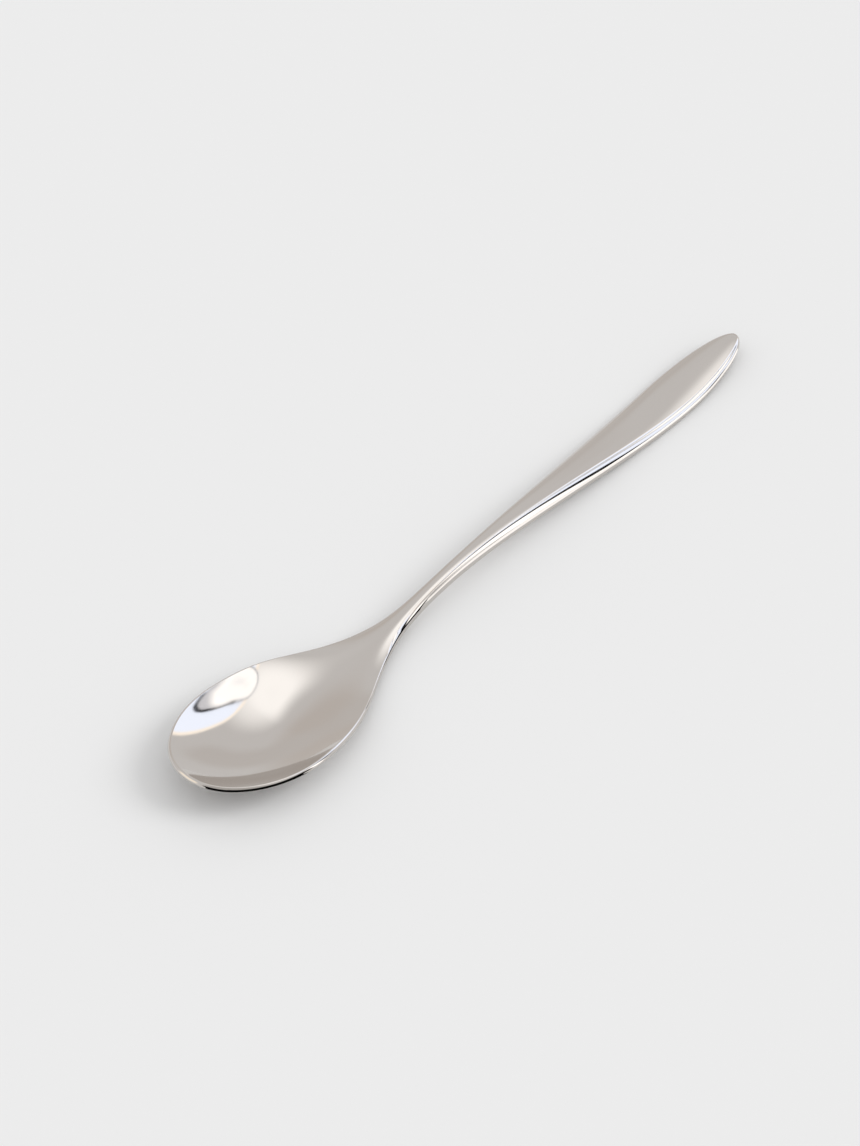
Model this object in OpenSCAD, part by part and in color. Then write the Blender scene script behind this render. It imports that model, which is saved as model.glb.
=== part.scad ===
// Dessert spoon, forged and polished from one piece of stainless steel.
// It lies bowl up, as it rests on a table: the table is Z = 0, and the bowl's tip points to -X.
// Places on the bowl are measured from the bowl's tip, and places on the handle from the handle's end.

/* [Overall] */
// Length from the bowl's tip to the handle's end
spoon_len = 180; // [168:1:200]

/* [Bowl outline] */
// Width of the bowl at its widest place
bowl_w = 31; // [26:0.1:36]
// Place of the bowl's widest width
bowl_at = 24; // [20:0.5:28]
// Bluntness of the bowl's tip: 2 is an ellipse
bowl_round = 2.1; // [1.8:0.05:2.6]
// Width at the back of the bowl
back_w = 26.8; // [22:0.1:29]
// Place of the back of the bowl
back_at = 36; // [33:0.5:40]
// Width at the shoulder, where the bowl draws in
shoulder_w = 16; // [12:0.1:20]
// Place of the shoulder
shoulder_at = 48; // [44:0.5:52]
// Width at the root of the bowl
root_w = 6.6; // [5:0.1:10]
// Place of the root
root_at = 60; // [56:0.5:65]

/* [Bowl hollow] */
// Depth of the hollow below the middle of the rim, at the bowl's widest place
bowl_depth = 4.7; // [3.6:0.1:8]
// Place where the hollow reaches its lowest floor
deepest_at = 27; // [18:0.5:32]
// Place where the hollow has run out
hollow_end_at = 67; // [60:0.5:78]
// Thickness of the bowl's floor
floor_t = 1.2; // [0.9:0.05:1.8]
// Thickness of the bowl's rim
rim_t = 1.1; // [0.8:0.05:1.2]

/* [Bowl rim, seen from the side] */
// Rise of the rim from the widest place to the tip
tip_rise = 2.4; // [0:0.1:4]
// Drop of the rim from the widest place to the back
back_drop = 1.4; // [0:0.1:2]
// Drop of the rim from the widest place to the shoulder
shoulder_drop = 3.1; // [1:0.1:3.2]
// Drop of the rim from the widest place to the root
root_drop = 3; // [1:0.1:3.2]

/* [Handle outline] */
// Width of the neck
neck_w = 3.4; // [3:0.1:6]
// Place of the neck, from the bowl's tip
neck_at = 75; // [70:0.5:80]
// Width of the shaft
shaft_w = 5.1; // [4:0.1:8]
// Place of the shaft
shaft_at = 80; // [76:0.5:86]
// Width where the handle spreads
spread_w = 8.8; // [7:0.1:12]
// Place where the handle spreads
spread_at = 52; // [46:0.5:58]
// Width of the handle at its widest place
leaf_w = 11.4; // [9:0.1:16]
// Place of the handle's widest width
leaf_at = 25.5; // [18:0.5:32]
// Bluntness of the handle's end: 2 is an ellipse
leaf_round = 2; // [1.7:0.05:2.6]

/* [Handle, seen from the side] */
// Height of the neck's edge above the table
neck_h = 3.8; // [2.5:0.1:9]
// Height of the shaft's edge above the table
shaft_h = 4.1; // [2.5:0.1:9]
// Height of the edge above the table where the handle spreads
spread_h = 2.1; // [1.6:0.1:6]
// Height of the underside above the table at the handle's widest place
leaf_lift = 0.05; // [0:0.05:0.5]
// Height of the edge above the table at the handle's end
end_h = 3.1; // [1.2:0.1:5]

/* [Handle section] */
// Thickness of the neck's rounded edge
neck_edge_t = 1.8; // [1.2:0.1:2.4]
// Height of the neck's crown above the middle of its edge
neck_crown = 1.7; // [1.3:0.05:2.2]
// Depth of the neck's underside below the middle of its edge
neck_belly = 1.3; // [1.2:0.05:2]
// Thickness of the shaft's rounded edge
shaft_edge_t = 1.8; // [1.2:0.1:2.4]
// Height of the shaft's crown above the middle of its edge
shaft_crown = 2.1; // [1.3:0.05:2.6]
// Depth of the shaft's underside below the middle of its edge
shaft_belly = 1.15; // [1:0.05:2]
// Thickness of the rounded edge at the handle's widest place
leaf_edge_t = 1.6; // [1:0.1:1.8]
// Height of the crown above the middle of the edge at the handle's widest place
leaf_crown = 1.75; // [1.2:0.05:2.4]
// Depth of the underside below the middle of the edge at the handle's widest place
leaf_belly = 0.9; // [0.9:0.05:1.6]
// Bluntness of the crown's shoulders: 2 is an even curve, and more is a flatter face
shoulder_round = 4; // [2:0.5:6]
// Bulge of the edge all round the spoon: 1 is half a circle, and less is flatter
edge_bulge = 0.5; // [0.3:0.05:1]

/* [Smoothness] */
// Sections along the spoon
section_count = 100; // [60:10:120]
// Points across each face of a section: an even number, so that two rows of them lie lowest
face_points = 18; // [10:2:26]
// Points round each edge of a section, between its faces
edge_points = 4; // [3:1:7]

/* [Hidden] */
steel = [0.78, 0.76, 0.74];
last_section = section_count - 1;
last_point = face_points - 1;
section_points = 2 * (face_points + edge_points);

// Places of the handle's stations, from the bowl's tip
shaft_x = spoon_len - shaft_at;
spread_x = spoon_len - spread_at;
leaf_x = spoon_len - leaf_at;

// Heights of the edge line that follow from the parts that touch the table
rim_h = bowl_depth + floor_t / 2;
leaf_h = leaf_belly + leaf_lift;

// Curves along the spoon, as [place, value] at each station
half_widths = [[0, bowl_w / 2], [bowl_at, bowl_w / 2], [back_at, back_w / 2],
    [shoulder_at, shoulder_w / 2], [root_at, root_w / 2], [neck_at, neck_w / 2],
    [shaft_x, shaft_w / 2], [spread_x, spread_w / 2], [leaf_x, leaf_w / 2], [spoon_len, leaf_w / 2]];
edge_heights = [[0, rim_h + tip_rise], [bowl_at, rim_h], [back_at, rim_h - back_drop],
    [shoulder_at, rim_h - shoulder_drop], [root_at, rim_h - root_drop], [neck_at, neck_h],
    [shaft_x, shaft_h], [spread_x, spread_h], [leaf_x, leaf_h], [spoon_len, end_h]];
edge_radii = thickness_stations(rim_t / 2, neck_edge_t / 2, shaft_edge_t / 2, leaf_edge_t / 2);
crowns = thickness_stations(floor_t / 2, neck_crown, shaft_crown, leaf_crown);
bellies = thickness_stations(floor_t / 2, neck_belly, shaft_belly, leaf_belly);

function thickness_stations(bowl, neck, shaft, leaf) =
    [[0, bowl], [bowl_at, bowl], [neck_at, neck], [shaft_x, shaft], [leaf_x, leaf], [spoon_len, leaf]];

// The curve that a springy strip takes through its stations (a natural cubic spline).
// Its bends solve a chain of equations: the rows are eliminated forwards, then solved backwards.
function bends(stations) =
    let (
        steps = [for (i = [1:len(stations) - 1]) stations[i] - stations[i - 1]],
        gaps = [for (step = steps) step[0]],
        slopes = [for (step = steps) step[1] / step[0]]
    )
    solved(eliminated(gaps, slopes));

function eliminated(gaps, slopes, rows = [[0, 0]]) =
    let (i = len(rows))
    i == len(gaps) ? rows :
    let (
        before = rows[i - 1],
        pivot = 2 * (gaps[i - 1] + gaps[i]) - gaps[i - 1] * before[0],
        row = [gaps[i], 6 * (slopes[i] - slopes[i - 1]) - gaps[i - 1] * before[1]] / pivot
    )
    eliminated(gaps, slopes, concat(rows, [row]));

function solved(rows, i = 0) =
    i == len(rows) ? [0] :
    let (rest = solved(rows, i + 1))
    concat([rows[i][1] - rows[i][0] * rest[0]], rest);

function strip(stations, strip_bends, x) =
    let (
        i = max([for (k = [0:len(stations) - 2]) if (stations[k][0] <= x) k]),
        gap = stations[i + 1][0] - stations[i][0],
        after = (x - stations[i][0]) / gap,
        before = 1 - after
    )
    before * stations[i][1] + after * stations[i + 1][1]
    + ((before ^ 3 - before) * strip_bends[i] + (after ^ 3 - after) * strip_bends[i + 1]) * gap ^ 2 / 6;

width_bends = bends(half_widths);
height_bends = bends(edge_heights);
radius_bends = bends(edge_radii);
crown_bends = bends(crowns);
belly_bends = bends(bellies);

// Distance of a face from the middle surface, along the middle of the spoon.
// Side is 1 for the upper face and -1 for the underside, here and below.
function face_height(x, side) =
    side > 0 ? strip(crowns, crown_bends, x) : strip(bellies, belly_bends, x);

// Angle at which a face falls to its edge
function fall(x, side) =
    let (rise = face_height(x, side) - strip(edge_radii, radius_bends, x))
    atan2(shoulder_round * rise, strip(half_widths, width_bends, x));

// Angle through which an edge turns from one face to the other
function turn(x) = 180 - fall(x, 1) - fall(x, -1);

// Reach of an edge past the middle surface: where the metal leans up, its lower corner reaches furthest
function edge_reach(x, lean) =
    strip(edge_radii, radius_bends, x) * norm([edge_bulge * tan(turn(x) / 4) * cos(lean), sin(lean)]);

// The middle surface stops short of the spoon's two ends by what their edges reach
tip_lean = atan2(2 * (rim_h + tip_rise - floor_t / 2), deepest_at);
first_x = edge_reach(0, tip_lean);
last_x = spoon_len - edge_reach(spoon_len, 0);

// Share of the full width that the rounding of the bowl's tip and of the handle's end leaves
function bowl_share(x) = rounded((bowl_at - x) / (bowl_at - first_x), bowl_round);
function leaf_share(x) = rounded((x - leaf_x) / (last_x - leaf_x), leaf_round);
function rounded(u, bluntness) = (1 - min(1, max(0, u)) ^ bluntness) ^ (1 / bluntness);

// Share of the hollow's depth along the middle: a round climb to the tip and a soft run-out to the neck
function hollow_share(x) =
    let (
        to_tip = max(0, (deepest_at - x) / (deepest_at - first_x)),
        to_neck = min(1, max(0, (x - deepest_at) / (hollow_end_at - deepest_at)))
    )
    (1 - to_tip ^ 2) * (1 - to_neck) ^ 3 * (1 + 3 * to_neck);

// Middle surface of the metal: across is -1 at the near edge, 0 along the middle and 1 at the far edge
function middle(x, across) =
    let (
        edge_height = strip(edge_heights, height_bends, x),
        hollow = (edge_height - floor_t / 2) * hollow_share(x),
        width_share = bowl_share(x) * leaf_share(x),
        full_half = strip(half_widths, width_bends, x),
        reach = edge_reach(x, atan2(2 * hollow, full_half * width_share))
    )
    [x, (full_half - reach) * width_share * across, edge_height - hollow * (1 - across ^ 2)];

// Sections crowd towards both ends, and points towards both edges, where the outline turns fastest
section_x = [for (i = [0:last_section])
    first_x + (last_x - first_x) * (1 - cos(180 * i / last_section)) / 2];
across = [for (j = [0:last_point]) sin(180 * j / last_point - 90)];
middles = [for (x = section_x) [for (a = across) middle(x, a)]];

function unit(v) = v / norm(v);
function lengthways(i, j) = unit(middles[i + 1][j] - middles[i - 1][j]);
function crossways(i, j) = middles[i][min(j + 1, last_point)] - middles[i][max(j - 1, 0)];
function upright(i, j) =
    i == 0 ? middle_upright(1) :
    i == last_section ? middle_upright(last_section - 1) :
    unit(cross(lengthways(i, j), crossways(i, j)));
function middle_upright(i) =
    unit(cross(middle(section_x[i + 1], 0) - middle(section_x[i - 1], 0), [0, 1, 0]));

// A point on the upper or lower face
function face_point(i, j, side) =
    let (
        x = section_x[i],
        radius = strip(edge_radii, radius_bends, x),
        share = (1 - abs(across[j]) ^ shoulder_round) * bowl_share(x) * leaf_share(x)
    )
    middles[i][j] + side * (radius + (face_height(x, side) - radius) * share) * upright(i, j);

// Direction out of the middle surface at an edge, square to the edge line
function away(i, j) =
    i == 0 ? cross(upright(i, j), [0, 1, 0]) :
    i == last_section ? cross([0, 1, 0], upright(i, j)) :
    (j == 0 ? -1 : 1) * unit(cross(upright(i, j), lengthways(i, j)));

// Direction in which a face reaches its edge
function outward(i, j, side) =
    let (angle = fall(section_x[i], side))
    cos(angle) * away(i, j) - side * sin(angle) * upright(i, j);

// Rounded edge from the upper face to the lower one: a curve that leaves each face along its own slope.
// The pull of its two handles would make an arc of a circle, and edge_bulge flattens that.
function edge_curve(i, j) =
    let (
        top = face_point(i, j, 1),
        bottom = face_point(i, j, -1),
        angle = turn(section_x[i]),
        pull = edge_bulge * norm(top - bottom) * (2 / 3) * tan(angle / 4) / sin(angle / 2),
        top_pull = top + pull * outward(i, j, 1),
        bottom_pull = bottom + pull * outward(i, j, -1)
    )
    [for (k = [1:edge_points])
        let (u = k / (edge_points + 1), w = 1 - u)
        w ^ 3 * top + 3 * w ^ 2 * u * top_pull + 3 * w * u ^ 2 * bottom_pull + u ^ 3 * bottom];

// One closed section: upper face, far edge, underside, near edge
function section(i) =
    let (near = edge_curve(i, 0))
    concat(
        [for (j = [0:last_point]) face_point(i, j, 1)],
        edge_curve(i, last_point),
        [for (j = [last_point:-1:0]) face_point(i, j, -1)],
        [for (k = [edge_points - 1:-1:0]) near[k]]
    );

// At the two ends the section has no width left, and only its rounded edge remains
function tip_section(i) =
    concat([face_point(i, 0, 1)], edge_curve(i, 0), [face_point(i, 0, -1)]);

skin_points = concat(
    tip_section(0),
    [for (i = [1:last_section - 1]) each section(i)],
    tip_section(last_section)
);

tip_points = len(tip_section(0));

function tip_index(k) =
    k < face_points ? 0 :
    k < face_points + edge_points ? k - face_points + 1 :
    k < section_points - edge_points ? tip_points - 1 :
    section_points - k;

function skin_index(i, k) =
    i == 0 ? tip_index(k) :
    i == last_section ? tip_points + (last_section - 1) * section_points + tip_index(k) :
    tip_points + (i - 1) * section_points + k;

function is_triangle(f) = f[0] != f[1] && f[1] != f[2] && f[2] != f[0];

skin_faces = [
    for (i = [0:last_section - 1], k = [0:section_points - 1])
        let (
            next = (k + 1) % section_points,
            a = skin_index(i, k),
            b = skin_index(i, next),
            c = skin_index(i + 1, next),
            d = skin_index(i + 1, k)
        )
        each [for (f = [[a, b, c], [a, c, d]]) if (is_triangle(f)) f]
];

lowest = min([for (p = skin_points) p[2]]);

module spoon() {
    color(steel)
        translate([-spoon_len / 2, 0, -lowest])
            polyhedron(points = skin_points, faces = skin_faces);
}

spoon();
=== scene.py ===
# %% [markdown]
# # A dessert spoon in Blender
# The spoon is one piece of polished stainless steel. The model gives its place and size,
# and this lesson models its skin finely enough for clean mirror reflections, finishes the steel,
# and lights it like a product on a pale table.

# %% Load the frame
import math
from itertools import chain

import bmesh
import bpy
from mathutils import Matrix, Vector


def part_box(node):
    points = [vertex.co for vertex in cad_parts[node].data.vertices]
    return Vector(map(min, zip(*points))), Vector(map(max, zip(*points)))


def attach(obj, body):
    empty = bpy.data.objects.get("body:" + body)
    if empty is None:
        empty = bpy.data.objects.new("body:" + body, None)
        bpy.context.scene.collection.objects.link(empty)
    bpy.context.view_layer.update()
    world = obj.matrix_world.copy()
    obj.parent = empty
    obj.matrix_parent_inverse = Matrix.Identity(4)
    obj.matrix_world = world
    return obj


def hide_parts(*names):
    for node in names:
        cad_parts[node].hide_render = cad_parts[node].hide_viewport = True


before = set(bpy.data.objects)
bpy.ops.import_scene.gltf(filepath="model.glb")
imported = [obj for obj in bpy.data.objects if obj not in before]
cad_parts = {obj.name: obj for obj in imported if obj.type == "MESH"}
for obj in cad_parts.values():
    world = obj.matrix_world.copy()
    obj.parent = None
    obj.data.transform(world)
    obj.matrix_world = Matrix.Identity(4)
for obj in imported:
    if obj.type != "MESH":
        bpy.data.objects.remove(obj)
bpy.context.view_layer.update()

MM = 0.001
spoon_low, spoon_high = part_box("spoon")
print("The frame holds", sorted(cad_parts), "from", spoon_low, "to", spoon_high)

# %% [markdown]
# ## Curves along the spoon
# A toolmaker draws a spoon with two long curves: its outline from above and its edge line from the
# side. Each is a springy strip bent through a few stations, which is a natural cubic spline. Places
# are millimetres from the bowl's tip, and each curve is a list of places and values.

# %% Places along the spoon and its sizes
SPOON_LEN = 180.0
BOWL_AT, BACK_AT, SHOULDER_AT, ROOT_AT, NECK_AT = 24.0, 36.0, 48.0, 60.0, 75.0
SHAFT_AT, SPREAD_AT, LEAF_AT = SPOON_LEN - 80.0, SPOON_LEN - 52.0, SPOON_LEN - 25.5
BOWL_DEPTH, DEEPEST_AT, HOLLOW_END_AT = 4.7, 27.0, 67.0
FLOOR_T, RIM_T, LEAF_EDGE_T = 1.2, 1.1, 1.6
LEAF_BELLY, LEAF_LIFT = 0.9, 0.05
RIM_H = BOWL_DEPTH + FLOOR_T / 2
TIP_H = RIM_H + 2.4
# An end whose roundness is 2 is half an ellipse, and above 2 it is blunter.
BOWL_ROUND, LEAF_ROUND = 2.1, 2.0
# A face falls to its edge with this power of the way across, so it stays high nearly to the edge.
SHOULDER_ROUND = 4.0
# An edge stands out this share of what a half circle would.
EDGE_BULGE = 0.5
print("The rim is", round(RIM_H, 2), "mm high beside the bowl, and", round(TIP_H, 2), "mm at its tip")

# %% Stations of the outline, the edge line and the thickness
WIDTHS = [(0, 31.0), (BOWL_AT, 31.0), (BACK_AT, 26.8), (SHOULDER_AT, 16.0), (ROOT_AT, 6.6),
          (NECK_AT, 3.4), (SHAFT_AT, 5.1), (SPREAD_AT, 8.8), (LEAF_AT, 11.4), (SPOON_LEN, 11.4)]
HEIGHTS = [(0, TIP_H), (BOWL_AT, RIM_H), (BACK_AT, RIM_H - 1.4), (SHOULDER_AT, RIM_H - 3.1),
           (ROOT_AT, RIM_H - 3.0), (NECK_AT, 3.8), (SHAFT_AT, 4.1), (SPREAD_AT, 2.1),
           (LEAF_AT, LEAF_BELLY + LEAF_LIFT), (SPOON_LEN, 3.1)]


def thickness(bowl, neck, shaft, leaf):
    """Stations of a thickness that stays even along the bowl and along the leaf."""
    places = (0, BOWL_AT, NECK_AT, SHAFT_AT, LEAF_AT, SPOON_LEN)
    return list(zip(places, (bowl, bowl, neck, shaft, leaf, leaf)))


# Half the edge's thickness, and how far the upper face and the underside stand off the middle.
EDGE_RADII = thickness(bowl=RIM_T / 2, neck=0.9, shaft=0.9, leaf=LEAF_EDGE_T / 2)
CROWNS = thickness(bowl=FLOOR_T / 2, neck=1.7, shaft=2.1, leaf=1.75)
BELLIES = thickness(bowl=FLOOR_T / 2, neck=1.3, shaft=1.15, leaf=LEAF_BELLY)
print("The outline has", len(WIDTHS), "stations, and the edge line has", len(HEIGHTS))

# %% A springy strip through its stations
def springy_strip(stations):
    """A function that gives the strip's value at a place: a natural cubic spline."""
    places = [place for place, value in stations]
    values = [value for place, value in stations]
    gaps = [after - before for before, after in zip(places, places[1:])]
    slopes = [(after - before) / gap for before, after, gap in zip(values, values[1:], gaps)]
    rows = [(0.0, 0.0)]
    for i in range(1, len(gaps)):
        pivot = 2 * (gaps[i - 1] + gaps[i]) - gaps[i - 1] * rows[-1][0]
        pull = 6 * (slopes[i] - slopes[i - 1]) - gaps[i - 1] * rows[-1][1]
        rows.append((gaps[i] / pivot, pull / pivot))
    bends = [0.0]
    for share, pull in reversed(rows):
        bends.insert(0, pull - share * bends[0])

    def value_at(x):
        i = max(k for k in range(len(gaps)) if places[k] <= x or k == 0)
        after = (x - places[i]) / gaps[i]
        before = 1 - after
        bend = (before ** 3 - before) * bends[i] + (after ** 3 - after) * bends[i + 1]
        return before * values[i] + after * values[i + 1] + bend * gaps[i] ** 2 / 6

    return value_at


width_at = springy_strip(WIDTHS)
height_at = springy_strip(HEIGHTS)
radius_at = springy_strip(EDGE_RADII)
crown_at = springy_strip(CROWNS)
belly_at = springy_strip(BELLIES)
print("Width at the neck:", round(width_at(NECK_AT), 2), "mm, height of its edge:", height_at(NECK_AT))

# %% [markdown]
# ## The middle of the metal
# The metal's middle surface is a shallow dish that runs out into the neck. The rim and the handle's
# sides are its two edges. Working from the middle gives the bowl an even wall, as a blank that was
# rolled and then pressed has.

# %% How an edge turns from the upper face to the underside
def fall(x, side):
    """Angle at which a face falls to its edge: the upper face is side 1, and the underside is -1."""
    face_height = crown_at(x) if side > 0 else belly_at(x)
    return math.atan2(SHOULDER_ROUND * (face_height - radius_at(x)), width_at(x) / 2)


def turn(x):
    """Angle that the edge turns from one face to the other: half a turn where both run level."""
    return math.pi - fall(x, 1) - fall(x, -1)


def edge_reach(x, lean):
    """How far the edge stands out past the middle surface, which leans up by lean."""
    bulge = EDGE_BULGE * math.tan(turn(x) / 4)
    return radius_at(x) * math.hypot(bulge * math.cos(lean), math.sin(lean))


TIP_LEAN = math.atan2(2 * (TIP_H - FLOOR_T / 2), DEEPEST_AT)
FIRST_X = edge_reach(0.0, TIP_LEAN)
LAST_X = SPOON_LEN - edge_reach(SPOON_LEN, 0.0)
print("The middle surface runs from", round(FIRST_X, 2), "to", round(LAST_X, 2), "mm")

# %% Rounded ends and the hollow
def rounded(u, bluntness):
    """Share of the width that is left, from 1 at u = 0 down to 0 at u = 1, like an ellipse's end."""
    return (1 - min(1.0, max(0.0, u)) ** bluntness) ** (1 / bluntness)


def end_share(x):
    """Shares of the full width that the roundings of the bowl's tip and the handle's end leave."""
    bowl = rounded((BOWL_AT - x) / (BOWL_AT - FIRST_X), BOWL_ROUND)
    leaf = rounded((x - LEAF_AT) / (LAST_X - LEAF_AT), LEAF_ROUND)
    return bowl, leaf


def hollow(x):
    """Depth along the middle: its floor climbs roundly to the tip and runs out softly to the neck."""
    to_tip = max(0.0, (DEEPEST_AT - x) / (DEEPEST_AT - FIRST_X))
    to_neck = min(1.0, max(0.0, (x - DEEPEST_AT) / (HOLLOW_END_AT - DEEPEST_AT)))
    share = (1 - to_tip ** 2) * (1 - to_neck) ** 3 * (1 + 3 * to_neck)
    return (height_at(x) - FLOOR_T / 2) * share


print("At its deepest place the middle surface dips", round(hollow(DEEPEST_AT), 2), "mm below its edges")

# %% The middle surface
def half_width(x):
    """From the middle line to the edge of the middle surface, which its rounded edge stands out past."""
    bowl, leaf = end_share(x)
    lean = math.atan2(2 * hollow(x), width_at(x) / 2 * bowl * leaf)
    return (width_at(x) / 2 - edge_reach(x, lean)) * bowl * leaf


def middle_row(x, places):
    """Points on the middle surface: each place is -1 at the near edge and 1 at the far one."""
    half, height, depth = half_width(x), height_at(x), hollow(x)
    return [Vector((x, half * across, height - depth * (1 - across ** 2))) for across in places]


SECTIONS = 360
FACE_POINTS = 49
EDGE_POINTS = 8
SECTION_X = [FIRST_X + (LAST_X - FIRST_X) * (1 - math.cos(math.pi * i / (SECTIONS - 1))) / 2
             for i in range(SECTIONS)]
ACROSS = [math.sin(math.pi * (j / (FACE_POINTS - 1) - 0.5)) for j in range(FACE_POINTS)]
middles = [middle_row(x, ACROSS) for x in SECTION_X]
print("The middle surface has", len(middles), "sections of", len(middles[0]), "points")

# %% [markdown]
# ## Faces and rounded edges
# The upper and lower face stand off the middle by half the metal's thickness, which swells to the
# crown along the handle. Each edge is a soft curve from one face round to the other, as polishing
# leaves it.

# %% Points on the two faces
def lengthways(i, j):
    """Direction along the spoon at a point of the middle surface."""
    before = middles[max(i - 1, 0)][j]
    after = middles[min(i + 1, SECTIONS - 1)][j]
    return (after - before).normalized()


def upright(i, j):
    """Direction square to the middle surface. The two ends take it from their neighbour's middle."""
    if i in (0, SECTIONS - 1):
        i = min(max(i, 1), SECTIONS - 2)
        j = FACE_POINTS // 2
    crossways = middles[i][min(j + 1, FACE_POINTS - 1)] - middles[i][max(j - 1, 0)]
    return lengthways(i, j).cross(crossways).normalized()


def face_point(i, j, side):
    """Point on the upper face, side 1, or on the underside, side -1."""
    x = SECTION_X[i]
    bowl, leaf = end_share(x)
    full = crown_at(x) if side > 0 else belly_at(x)
    share = (1 - abs(ACROSS[j]) ** SHOULDER_ROUND) * bowl * leaf
    return middles[i][j] + side * (radius_at(x) + (full - radius_at(x)) * share) * upright(i, j)


# %% The rounded edge between them
def away(i, j):
    """Direction out of the middle surface at an edge, square to the edge line."""
    if i == 0:
        return upright(i, j).cross(Vector((0, 1, 0)))
    if i == SECTIONS - 1:
        return Vector((0, 1, 0)).cross(upright(i, j))
    side_way = upright(i, j).cross(lengthways(i, j)).normalized()
    return -side_way if j == 0 else side_way


def outward(i, j, side):
    """Direction in which a face reaches its edge."""
    angle = fall(SECTION_X[i], side)
    return math.cos(angle) * away(i, j) - side * math.sin(angle) * upright(i, j)


def edge_curve(i, j):
    """Rounded edge from the upper face to the underside, without its two end points."""
    top, bottom = face_point(i, j, 1), face_point(i, j, -1)
    angle = turn(SECTION_X[i])
    pull = EDGE_BULGE * (top - bottom).length * (2 / 3) * math.tan(angle / 4) / math.sin(angle / 2)
    handles = (top, top + pull * outward(i, j, 1), bottom + pull * outward(i, j, -1), bottom)
    points = []
    for k in range(1, EDGE_POINTS + 1):
        u = k / (EDGE_POINTS + 1)
        shares = ((1 - u) ** 3, 3 * (1 - u) ** 2 * u, 3 * (1 - u) * u ** 2, u ** 3)
        points.append(sum((share * point for share, point in zip(shares, handles)), Vector()))
    return points


# %% Closed rings along the spoon
def section(i):
    """One closed ring: upper face, far edge, underside, near edge."""
    last = FACE_POINTS - 1
    return [*(face_point(i, j, 1) for j in range(FACE_POINTS)), *edge_curve(i, last),
            *(face_point(i, j, -1) for j in range(last, -1, -1)), *reversed(edge_curve(i, 0))]


sections = [section(i) for i in range(SECTIONS)]
lowest = min(point.z for point in chain.from_iterable(sections))
to_row = Matrix.Scale(MM, 4) @ Matrix.Translation((-SPOON_LEN / 2, 0, -lowest))
print("Each ring has", len(sections[0]), "points, and the lowest was", round(lowest, 4), "mm high")

# %% [markdown]
# ## The skin
# A ring of edges is extruded along the spoon, section by section, like a drawn sock. At each step
# the new ring takes its section's shape. An integer on each vertex remembers its place round the
# ring, because an extrusion copies it. At both ends the ring closes up, and merging its doubled
# points leaves a clean seam.

# %% Draw the ring along the spoon
SAME_PLACE = 0.0005 * MM


def drawn_skin(rings):
    """A closed skin through all the rings."""
    bm = bmesh.new()
    place = bm.verts.layers.int.new("place round the ring")
    start = bmesh.ops.create_circle(bm, cap_ends=False, radius=1.0, segments=len(rings[0]))["verts"]
    for k, vert in enumerate(start):
        vert[place] = k
        vert.co = to_row @ rings[0][k]
    edges = bm.edges[:]
    for ring in rings[1:]:
        made = bmesh.ops.extrude_edge_only(bm, edges=edges)["geom"]
        verts = {part for part in made if isinstance(part, bmesh.types.BMVert)}
        for vert in verts:
            vert.co = to_row @ ring[vert[place]]
        edges = [part for part in made if isinstance(part, bmesh.types.BMEdge)
                 and part.verts[0] in verts and part.verts[1] in verts]
    bmesh.ops.remove_doubles(bm, verts=bm.verts[:], dist=SAME_PLACE)
    bmesh.ops.recalc_face_normals(bm, faces=bm.faces[:])
    return bm


bm = drawn_skin(sections)
open_edges = sum(1 for edge in bm.edges if not edge.is_manifold)
print("The drawn skin has", len(bm.faces), "faces and", open_edges, "open edges")

# %% [markdown]
# True curves rise a few hundredths of a millimetre past the model's flat triangles. The skin
# is pressed into the model's box by that much, and then becomes the spoon's piece.

# %% Press the skin into the box
shares = [min(1.0, spoon_high[axis] / max(vert.co[axis] for vert in bm.verts)) for axis in range(3)]
bmesh.ops.scale(bm, vec=shares, verts=bm.verts[:])
volume = bm.calc_volume(signed=True)
spoon_mesh = bpy.data.meshes.new("spoon_skin")
bm.to_mesh(spoon_mesh)
bm.free()
spoon_mesh.shade_smooth()
spoon = bpy.data.objects.new("spoon_skin", spoon_mesh)
bpy.context.scene.collection.objects.link(spoon)
print("Pressed to", [round(share, 4) for share in shares], "it holds", round(volume / MM ** 3, 1),
      "cubic millimetres of steel")

# %% [markdown]
# ## Polished steel
# Cutlery steel is buffed on felt wheels until it mirrors. It isn't quite neutral: the chromium and
# nickel leave it a touch warm. One Principled shader gives that. Two noises break its perfection,
# since the wheel leaves strokes along the spoon and rounds the surface a little unevenly.

# %% Colours
def linear(hex_colour):
    """An sRGB colour such as C8C0B8 as the linear values that a shader takes."""
    parts = [int(hex_colour[k:k + 2], 16) / 255 for k in (0, 2, 4)]
    return (*(c / 12.92 if c <= 0.04045 else ((c + 0.055) / 1.055) ** 2.4 for c in parts), 1.0)


STEEL = "CFCAC5"
PAPER = "EBEBEB"
for title, colour in (("Steel", STEEL), ("Paper", PAPER)):
    print(title, colour, "is", [round(part, 3) for part in linear(colour)[:3]], "to a shader")

# %% Nodes
def add_node(tree, kind, settings=None, links=None):
    """Adds a node. settings are its own properties or socket values, and links its inputs."""
    node = tree.nodes.new(kind)
    for name, value in (settings or {}).items():
        if hasattr(node, name):
            setattr(node, name, value)
        else:
            node.inputs[name].default_value = value
    for name, source in (links or {}).items():
        tree.links.new(source, node.inputs[name])
    return node


def new_material(name):
    """A material and its node tree, which is still empty."""
    material = bpy.data.materials.new(name)
    material.use_nodes = True
    material.node_tree.nodes.clear()
    return material, material.node_tree


# %% Polished stainless steel
MARK_LENGTH = 18 * MM
MARK_WIDTH = 0.9 * MM
WAVE = 9 * MM
WAVE_HEIGHT = 0.012 * MM
SHARPEST, SOFTEST = 0.045, 0.085
# A noise is seldom below or above these two values.
NOISE_LOW, NOISE_HIGH = 0.3, 0.7


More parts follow.
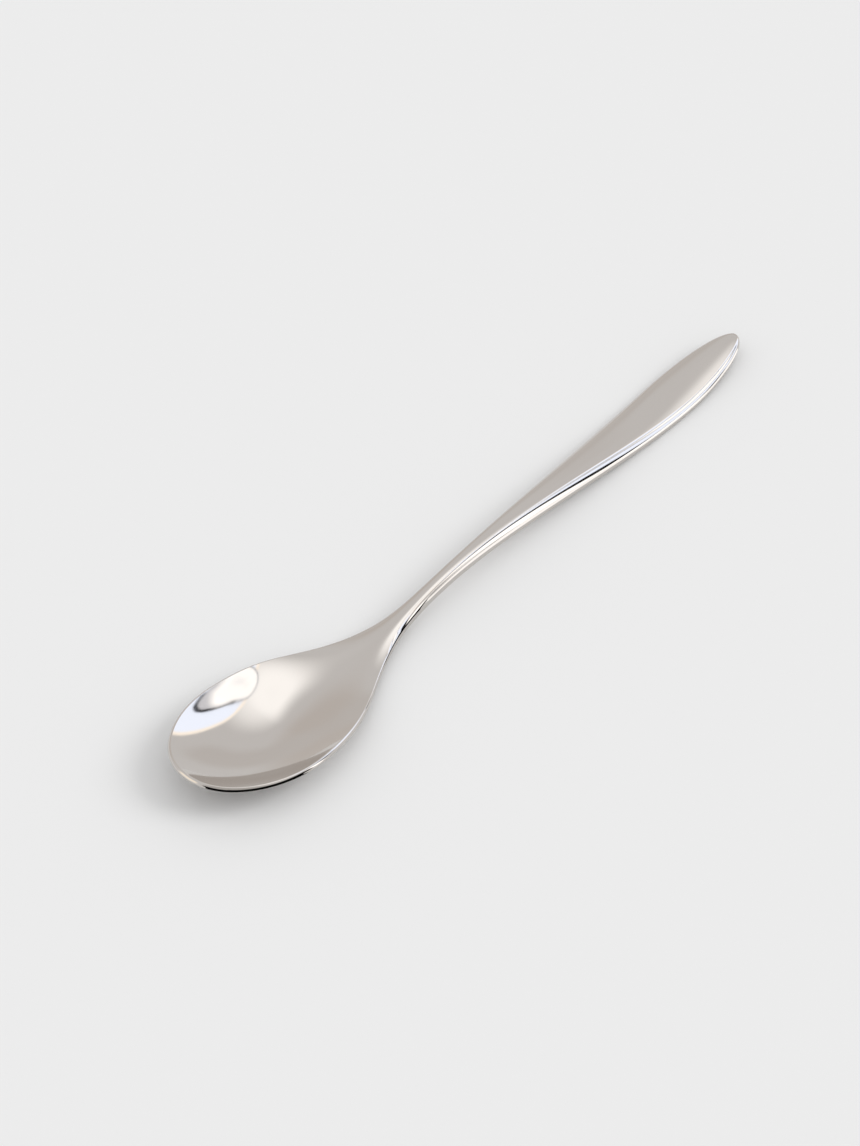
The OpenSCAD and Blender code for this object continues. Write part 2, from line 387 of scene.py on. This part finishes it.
def polished_stainless_steel():
    # To the eye, a slightly warm mirror. Its reflections are soft by a trace, a little softer along the
    # polishing strokes, and they waver gently where the wheel left the surface less than true.
    material, tree = new_material("polished_stainless_steel")
    place = add_node(tree, "ShaderNodeTexCoord").outputs["Object"]
    strokes = add_node(tree, "ShaderNodeMapping", {
        "Scale": (1 / MARK_LENGTH, 1 / MARK_WIDTH, 1 / MARK_WIDTH)}, {"Vector": place})
    marks = add_node(tree, "ShaderNodeTexNoise", {"Scale": 1.0, "Detail": 3.0, "Roughness": 0.6},
                     {"Vector": strokes.outputs[0]})
    softness = add_node(tree, "ShaderNodeMapRange", {
        "From Min": NOISE_LOW, "From Max": NOISE_HIGH, "To Min": SHARPEST, "To Max": SOFTEST},
        {"Value": marks.outputs[0]})
    waves = add_node(tree, "ShaderNodeTexNoise", {"Scale": 1 / WAVE, "Detail": 1.0}, {"Vector": place})
    waver = add_node(tree, "ShaderNodeBump", {"Strength": 1.0, "Distance": WAVE_HEIGHT},
                     {"Height": waves.outputs[0]})
    shader = add_node(tree, "ShaderNodeBsdfPrincipled", {"Base Color": linear(STEEL), "Metallic": 1.0},
                      {"Roughness": softness.outputs[0], "Normal": waver.outputs[0]})
    add_node(tree, "ShaderNodeOutputMaterial", links={"Surface": shader.outputs[0]})
    return material


spoon_mesh.materials.append(polished_stainless_steel())
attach(spoon, "root")
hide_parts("spoon")
print("The steel is", spoon_mesh.materials[0].name, "with waves", round(WAVE / MM, 1), "mm long")

# %% [markdown]
# ## Camera
# A product photographer stands back with a long lens, which keeps both ends of the spoon in
# proportion. The direction and distance come from fitting the spoon's outline to the photograph.

# %% Camera
CAMERA_ELEVATION = math.radians(43.1)
CAMERA_HEADING = math.radians(50.84)
CAMERA_DISTANCE = 0.9931
AIM = Vector((-7.97 * MM, 6.07 * MM, 0.0))
LENS = 150.84
toward = Vector((-math.sin(CAMERA_HEADING) * math.cos(CAMERA_ELEVATION),
                 -math.cos(CAMERA_HEADING) * math.cos(CAMERA_ELEVATION),
                 math.sin(CAMERA_ELEVATION)))
camera_data = bpy.data.cameras.new("camera")
camera_data.lens = LENS
camera_data.sensor_width = 36.0
camera = bpy.data.objects.new("camera", camera_data)
camera.location = AIM + toward * CAMERA_DISTANCE
camera.rotation_euler = toward.to_track_quat("Z", "Y").to_euler()
bpy.context.scene.collection.objects.link(camera)
bpy.context.scene.camera = camera
print("The camera stands", CAMERA_DISTANCE, "m away with a", LENS, "mm lens")

# %% [markdown]
# ## Floor
# The spoon lies on plain pale paper. It is matt, so it takes soft shadows and mirrors nothing.

# %% The paper floor
FLOOR_HALF = 3.0


def matt_white_paper():
    # To the eye, even pale paper with no sheen.
    material, tree = new_material("matt_white_paper")
    shader = add_node(tree, "ShaderNodeBsdfDiffuse", {"Color": linear(PAPER)})
    add_node(tree, "ShaderNodeOutputMaterial", links={"Surface": shader.outputs[0]})
    return material


bm = bmesh.new()
bmesh.ops.create_grid(bm, x_segments=1, y_segments=1, size=FLOOR_HALF)
floor_mesh = bpy.data.meshes.new("floor")
bm.to_mesh(floor_mesh)
bm.free()
floor = bpy.data.objects.new("floor", floor_mesh)
bpy.context.scene.collection.objects.link(floor)
floor_mesh.materials.append(matt_white_paper())
print("The paper is", 2 * FLOOR_HALF, "m wide")

# %% [markdown]
# ## The studio that the steel mirrors
# Polished steel shows its surroundings, so they are modelled as carefully as the spoon. The room is
# far away, so nothing is built: it is drawn in the world by direction. Azimuth turns clockwise from
# straight ahead of the camera, and elevation rises from the floor, both in degrees.

# %% Azimuth and elevation of a direction in the world
world = bpy.data.worlds.new("studio")
bpy.context.scene.world = world
world.use_nodes = True
sky = world.node_tree
sky.nodes.clear()


def calculate(kind, first, second=None):
    """One sum of the Math node: each value is a number or another node's output."""
    node = add_node(sky, "ShaderNodeMath", {"operation": kind})
    for socket, value in zip(node.inputs, (first, second)):
        if isinstance(value, bpy.types.NodeSocket):
            sky.links.new(value, socket)
        elif value is not None:
            socket.default_value = value
    return node.outputs[0]


def along(axis):
    """How far a direction points along an axis."""
    node = add_node(sky, "ShaderNodeVectorMath", {"operation": "DOT_PRODUCT"})
    sky.links.new(direction, node.inputs[0])
    node.inputs[1].default_value = axis
    return node.outputs["Value"]


direction = add_node(sky, "ShaderNodeTexCoord").outputs["Generated"]
RIGHT = (math.cos(CAMERA_HEADING), -math.sin(CAMERA_HEADING), 0.0)
AHEAD = (math.sin(CAMERA_HEADING), math.cos(CAMERA_HEADING), 0.0)
azimuth = calculate("DEGREES", calculate("ARCTAN2", along(RIGHT), along(AHEAD)))
elevation = calculate("DEGREES", calculate("ARCSINE", along((0.0, 0.0, 1.0))))
print("Azimuth 0 points along", [round(part, 2) for part in AHEAD])

# %% Patches of light in the room
def vector_step(kind, vector, constant=None):
    """One step of the Vector Math node, with a constant as its second value."""
    node = add_node(sky, "ShaderNodeVectorMath", {"operation": kind})
    sky.links.new(vector, node.inputs[0])
    if constant is not None:
        node.inputs[1].default_value = constant
    return node.outputs["Value" if kind == "LENGTH" else "Vector"]


def patch(azimuths, elevations, corner, blur, slope=0.0):
    """1 inside a patch with round corners, and 0 outside it, with an edge as soft as blur degrees.
    Its upper and lower sides rise by slope for each degree to the right of its middle."""
    middle = [sum(azimuths) / 2, sum(elevations) / 2]
    half = [(azimuths[1] - azimuths[0]) / 2, (elevations[1] - elevations[0]) / 2]
    across = calculate("SUBTRACT", azimuth, middle[0])
    tilt = calculate("MULTIPLY", across, slope)
    up = calculate("SUBTRACT", calculate("SUBTRACT", elevation, middle[1]), tilt)
    off = add_node(sky, "ShaderNodeCombineXYZ", links={"X": across, "Y": up}).outputs[0]
    core = [half[0] - corner, half[1] - corner, 0.0]
    past_core = vector_step("SUBTRACT", vector_step("ABSOLUTE", off), core)
    past = vector_step("MAXIMUM", past_core, [0.0, 0.0, 0.0])
    inside = add_node(sky, "ShaderNodeMapRange", {
        "interpolation_type": "SMOOTHSTEP", "From Min": corner + blur / 2, "From Max": corner - blur / 2},
        {"Value": vector_step("LENGTH", past)})
    return inside.outputs[0]


def overlap(one, other):
    """1 only where both patches are."""
    return calculate("MULTIPLY", one, other)


def paint(room, tone, where):
    """The room with a tone painted where the patch is. A tone is a colour and its brightness."""
    hex_colour, gain = tone
    colour = [gain * part for part in linear(hex_colour)[:3]] + [1.0]
    mix = add_node(sky, "ShaderNodeMix", {"data_type": "RGBA", "clamp_result": False})
    sky.links.new(where, mix.inputs[0])
    sky.links.new(room, mix.inputs[6])
    mix.inputs[7].default_value = colour
    return mix.outputs[2]


# %% [markdown]
# ### Walls, glow and ceiling
# The inside of the bowl and the top of the handle mirror what is ahead and overhead. That is a pale
# room, a little warmer on the left, with a soft glow that ends where the plain ceiling starts.

# %% Paint the walls, the glow and the ceiling
PLAIN_WALL = ("E7E6E6", 1.0)
WARM_WALL = ("DCD7D3", 1.0)
LOW_WALL = ("DEDBD9", 1.0)
GLOW = ("FFFFFF", 1.55)
walls = add_node(sky, "ShaderNodeRGB")
walls.outputs[0].default_value = linear(PLAIN_WALL[0])
room = walls.outputs[0]
room = paint(room, WARM_WALL, patch((-55, -8), (-10, 50), 14, 16))
room = paint(room, LOW_WALL, patch((-22, 30), (13, 32), 8, 10))
room = paint(room, GLOW, patch((-6, 92), (54, 110), 14, 20))
room = paint(room, PLAIN_WALL, patch((-250, 250), (70, 130), 6, 8))
print("Walls, glow and ceiling take", len(sky.nodes), "nodes")

# %% [markdown]
# ### The dark side of the room
# Rims and flanks that face the camera mirror what is behind it: a dim wall, with an unlit room below.
# Azimuth jumps from 180 to -180 degrees there, so each of the two is painted once on either side of
# the jump. A strip of warm light on the left draws a cream line on the rim at the bowl's tip.

# %% Paint the dark side
DIM_WALL = ("C8C6C4", 1.0)
UNLIT_ROOM = ("121112", 1.0)
WARM_STRIP = ("FFF6E8", 1.4)
room = paint(room, DIM_WALL, patch((130, 250), (-10, 90), 20, 24))
room = paint(room, DIM_WALL, patch((-250, -140), (-10, 90), 20, 24))
room = paint(room, UNLIT_ROOM, patch((98.5, 220), (-60, 24), 8, 6))
room = paint(room, UNLIT_ROOM, patch((-220, -138), (-60, 20), 8, 6))
room = paint(room, WARM_STRIP, patch((-125, -88), (-20, 30), 8, 10))
print("With its dark side the room takes", len(sky.nodes), "nodes")

# %% [markdown]
# ### The window
# The bowl's far wall mirrors a window on the right. A lavender blind with a cream border hangs in it,
# and a bright pane shines beside it. Patches cover each other like coats of paint, from the back to
# the front. Where an outline is slanted, it is the overlap of two patches of unlike slopes.

# %% Paint the blind
CREAM_BORDER = ("FFF6EA", 1.6)
BLIND = ("E5EEFF", 1.78)
room = paint(room, CREAM_BORDER, patch((40.3, 88), (10, 59.4), 13, 2))
room = paint(room, BLIND, patch((42.5, 86), (12, 57.8), 12, 2))
print("With the blind the room takes", len(sky.nodes), "nodes")

# %% Paint the pane's frame, dark on its left and below, fine and grey on its right and above
GREY_FRAME = ("CFD2DA", 1.0)
LEFT_FRAME = ("08080A", 1.0)
LOWER_FRAME = ("0C0C10", 1.0)
# A wide patch whose slanted top is where the frame stops.
frame_part = patch((30, 90), (20, 58.6), 3, 1.5, -0.85)
room = paint(room, GREY_FRAME, overlap(patch((48.4, 62), (52.1, 100), 3, 1.5, -0.75), frame_part))
room = paint(room, LEFT_FRAME, patch((52, 56.6), (38, 54.6), 2, 1.2))
room = paint(room, BLIND, patch((44, 54.2), (30, 54), 3, 1.2))
room = paint(room, LOWER_FRAME, overlap(patch((54.4, 69), (38.0, 90), 5, 1.2, 0.72), frame_part))
room = paint(room, GREY_FRAME, overlap(patch((59, 71), (42, 90), 3, 1.5, 0.7), frame_part))
print("With the frame the room takes", len(sky.nodes), "nodes")

# %% Paint the pane, pale grey on its left and bright on its right and above
GREY_GLASS = ("E9EBF2", 1.15)
BRIGHT_GLASS = ("FFFFFF", 1.85)
UPPER_GLASS = ("FFFFFF", 1.75)
# The pane stops a little lower than its frame.
pane_part = patch((30, 90), (20, 57.4), 3, 1.5, -0.85)
room = paint(room, GREY_GLASS, overlap(patch((56.0, 70), (40.4, 90), 5, 1.2, 0.7), pane_part))
room = paint(room, BRIGHT_GLASS, overlap(patch((56.0, 70), (45.2, 96), 5, 6, 0.2), pane_part))
room = paint(room, UPPER_GLASS, overlap(patch((49.6, 66), (51.8, 100), 3, 1.5, -0.75), pane_part))
print("With the pane the room takes", len(sky.nodes), "nodes")

# %% Paint the window's right-hand side, as the handle's flank mirrors it
RIGHT_FRAME = ("101014", 1.0)
LIT_WALL = ("FFFFFF", 2.0)
room = paint(room, RIGHT_FRAME, patch((80, 88.5), (12, 44), 2, 2))
room = paint(room, LIT_WALL, patch((88.5, 98), (-25, 30), 3, 3))
print("The whole room takes", len(sky.nodes), "nodes")

# %% [markdown]
# ### Who sees the room
# Only the steel mirrors the painted room. Everything else sees a plain pale one, so the paper keeps
# its colour. The Light Path node tells them apart, because only a mirror sends on glossy rays.

# %% Mix the painted room and the plain one
lit_room = add_node(sky, "ShaderNodeBackground", {"Strength": 1.0}, {"Color": room})
plain_room = add_node(sky, "ShaderNodeBackground", {"Color": linear(PAPER), "Strength": 1.0})
mirrored = add_node(sky, "ShaderNodeLightPath").outputs["Is Glossy Ray"]
either = add_node(sky, "ShaderNodeMixShader", links={"Fac": mirrored})
sky.links.new(plain_room.outputs[0], either.inputs[1])
sky.links.new(lit_room.outputs[0], either.inputs[2])
add_node(sky, "ShaderNodeOutputWorld", links={"Surface": either.outputs[0]})
print("The world is drawn with", len(sky.nodes), "nodes")

# %% [markdown]
# ## Black cards
# Photographers stand black cards close to bright steel, and they draw crisp dark lines along its
# edges. Here both cards are painted dark reflections: one bends up from the table round the near
# side of the bowl's tip, and a smaller one stands by the neck. They show only in the steel: they are
# out of the picture and cast no shadow.

# %% A card folded from lines of points, in millimetres
FOOT_HEIGHT = 0.2 * MM


def folded_card(name, inner, outer, height):
    """A foot on the table between two lines of points, and a wall on the outer line."""
    bm = bmesh.new()
    line = [bm.verts.new((x * MM, y * MM, FOOT_HEIGHT)) for x, y in inner]
    edges = [bm.edges.new(pair) for pair in zip(line, line[1:])]
    for points, z in ((outer, FOOT_HEIGHT), (outer, height)):
        made = bmesh.ops.extrude_edge_only(bm, edges=edges)["geom"]
        verts = [part for part in made if isinstance(part, bmesh.types.BMVert)]
        verts.sort(key=lambda vert: vert.co.x)
        for vert, (x, y) in zip(verts, points):
            vert.co = (x * MM, y * MM, z)
        edges = [part for part in made if isinstance(part, bmesh.types.BMEdge)
                 and part.verts[0] in verts and part.verts[1] in verts]
    mesh = bpy.data.meshes.new(name)
    bm.to_mesh(mesh)
    bm.free()
    return bpy.data.objects.new(name, mesh)


def stand(card, material):
    """Puts a card on the set, where only the steel mirrors it."""
    card.data.materials.append(material)
    card.visible_camera = False
    card.visible_diffuse = False
    card.visible_shadow = False
    bpy.context.scene.collection.objects.link(card)
    print(card.name, "has", len(card.data.polygons), "panels and", len(card.data.vertices), "corners")


# %% The two black cards
CARD_HEIGHT = 13 * MM
CARD_INNER = [(-92, -3), (-89.5, -10), (-84, -15.5), (-77, -18.5), (-69, -18.8)]
CARD_OUTER = [(-106, -4), (-101, -17), (-92, -26), (-79, -31), (-67, -31)]
NECK_CARD_HEIGHT = 9 * MM
NECK_INNER = [(-31, -7), (-16, -7)]
NECK_OUTER = [(-21, -20), (-7, -20)]


def matt_black_card():
    # To the eye, a black with no sheen, which only the steel mirrors, as painted dark lines.
    material, tree = new_material("matt_black_card")
    shader = add_node(tree, "ShaderNodeBsdfDiffuse", {"Color": linear("0C0C0D"), "Roughness": 0.5})
    add_node(tree, "ShaderNodeOutputMaterial", links={"Surface": shader.outputs[0]})
    return material


black = matt_black_card()
stand(folded_card("black_card", CARD_INNER, CARD_OUTER, CARD_HEIGHT), black)
stand(folded_card("neck_card", NECK_INNER, NECK_OUTER, NECK_CARD_HEIGHT), black)

# %% [markdown]
# ## Glowing white card
# A third card, white and glowing by itself though it is no lamp, lies along the near side of the
# handle. It is a painted reflection: it carries the white of the window down the handle's flank,
# where the steel would mirror the plain table.

# %% A glowing white card, a painted reflection
WHITE_HEIGHT = 1 * MM
WHITE_GLOW = 1.6
WHITE_INNER = [(-13, -8), (14, -8), (34, -8), (52, -7.8), (68, -7.6), (82, -6.3), (91, -3)]
WHITE_OUTER = [(6, -42), (34, -42), (54, -42), (74, -42), (92, -42), (108, -40), (124, -30)]


def glowing_reflection_panel():
    # To the eye, a white panel that glows by itself, which only the steel mirrors, as a painted white
    # reflection.
    material, tree = new_material("glowing_reflection_panel")
    light = add_node(tree, "ShaderNodeEmission", {"Color": linear("FFFFFF"), "Strength": WHITE_GLOW})
    add_node(tree, "ShaderNodeOutputMaterial", links={"Surface": light.outputs[0]})
    return material


stand(folded_card("white_card", WHITE_INNER, WHITE_OUTER, WHITE_HEIGHT), glowing_reflection_panel())

# %% [markdown]
# ## Key light
# Light from the window falls evenly over the table, so it comes from a sun lamp, which is as wide in
# the sky as the window. It gives the soft shadow on the left of the bowl. The steel mirrors the
# painted window instead of the lamp, and the paper comes out about as pale as its colour is written.

# %% A broad soft light
KEY_AZIMUTH = math.radians(92.0)
KEY_ELEVATION = math.radians(38.0)
KEY_WIDTH = math.radians(32.0)
KEY_STRENGTH = 0.92
to_key = (math.cos(KEY_ELEVATION) * math.sin(KEY_AZIMUTH) * Vector(RIGHT)
          + math.cos(KEY_ELEVATION) * math.cos(KEY_AZIMUTH) * Vector(AHEAD)
          + Vector((0.0, 0.0, math.sin(KEY_ELEVATION))))
key_data = bpy.data.lights.new("key", "SUN")
key_data.angle = KEY_WIDTH
key_data.energy = KEY_STRENGTH
key = bpy.data.objects.new("key", key_data)
key.rotation_euler = to_key.to_track_quat("Z", "Y").to_euler()
key.visible_glossy = False
bpy.context.scene.collection.objects.link(key)
print("The key light shines from", [round(part, 2) for part in to_key])

# %% [markdown]
# ## View
# The Standard view shows each colour as the light gives it, with no film curve on top, so the paper
# and the steel can be set by their hex values.

# %% The Standard view
bpy.context.scene.view_settings.view_transform = "Standard"
print("The view is", bpy.context.scene.view_settings.view_transform)
